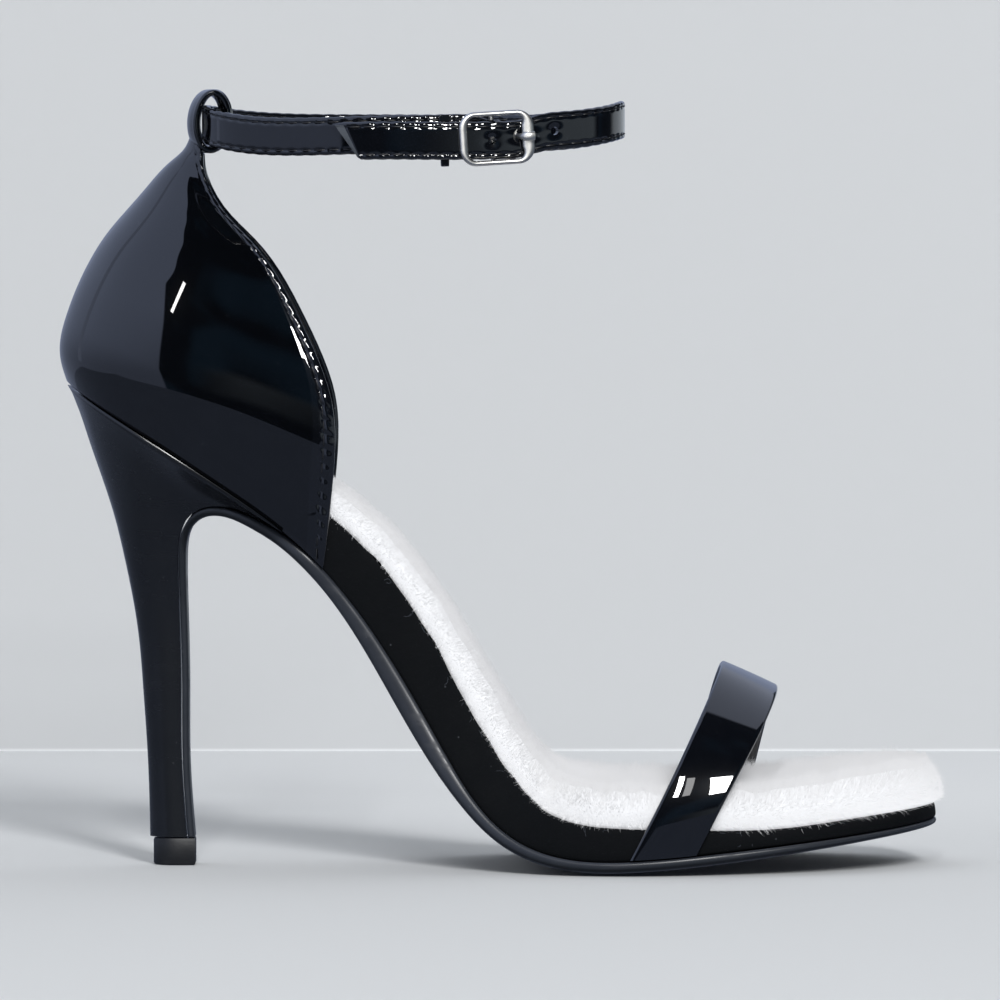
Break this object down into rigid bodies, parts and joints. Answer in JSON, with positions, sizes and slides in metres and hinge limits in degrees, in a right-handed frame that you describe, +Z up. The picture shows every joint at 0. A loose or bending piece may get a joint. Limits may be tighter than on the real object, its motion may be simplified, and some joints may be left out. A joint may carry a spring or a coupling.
{
  "type": "stiletto sandal",
  "caption": "Right-foot ankle-strap stiletto sandal with a closed heel counter, one band over the toes, a buckled strap and a deep fur footbed.",
  "frame": {"origin": "on the floor, under the middle of the bounding box", "axes": "+X from heel to toe, +Y to the inner side of the foot, +Z up"},
  "size_m": [0.202, 0.081, 0.1782],
  "materials": {
    "sole": "smooth satin black",
    "wrap": "matt black wrap",
    "fur": "short white pile",
    "heel_cover": "satin black covering",
    "top_piece": "hard black",
    "patent": "black patent, mirror gloss",
    "nickel": "satin nickel"
  },
  "bodies": {
    "root": {"outsole": "sole", "wrapped_insole": "wrap", "fur_sock": "fur", "heel": "heel_cover", "top_piece": "top_piece", "heel_counter": "patent", "toe_strap": "patent", "ankle_strap": "patent", "strap_keeper": "patent", "buckle_frame": "nickel", "buckle_prong": "nickel"}
  },
  "joints": []
}
